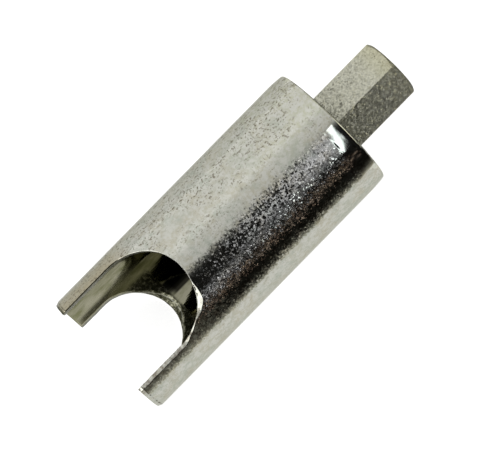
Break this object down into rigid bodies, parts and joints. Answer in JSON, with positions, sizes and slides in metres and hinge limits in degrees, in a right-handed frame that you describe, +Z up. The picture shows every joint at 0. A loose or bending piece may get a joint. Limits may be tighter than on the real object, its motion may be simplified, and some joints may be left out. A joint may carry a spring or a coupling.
{
  "type": "valve remover wrench",
  "caption": "Round steel socket tube with a U-notched fork at one end and a chamfered hexagon drive stub at the other, for unscrewing a valve with a spanner or socket.",
  "frame": {"origin": "centre of the tool's box on the surface it lies on", "axes": "+X along the tool's axis towards the hexagon, +Z up through the wide notch"},
  "size_m": [0.0776, 0.028, 0.028],
  "materials": {
    "tube_zinc": "bright zinc plate over a drawn tube, with fine pits",
    "hex_zinc": "zinc plate over a drawn bar, satin and finely pitted",
    "plug_zinc": "zinc plate over a faced steel disc",
    "weld_zinc": "zinc plate over dressed weld metal"
  },
  "bodies": {
    "root": {"notched_tube": "tube_zinc", "end_plug": "plug_zinc", "rim_weld": "weld_zinc", "hex_drive": "hex_zinc", "spigot_weld": "weld_zinc"}
  },
  "joints": []
}
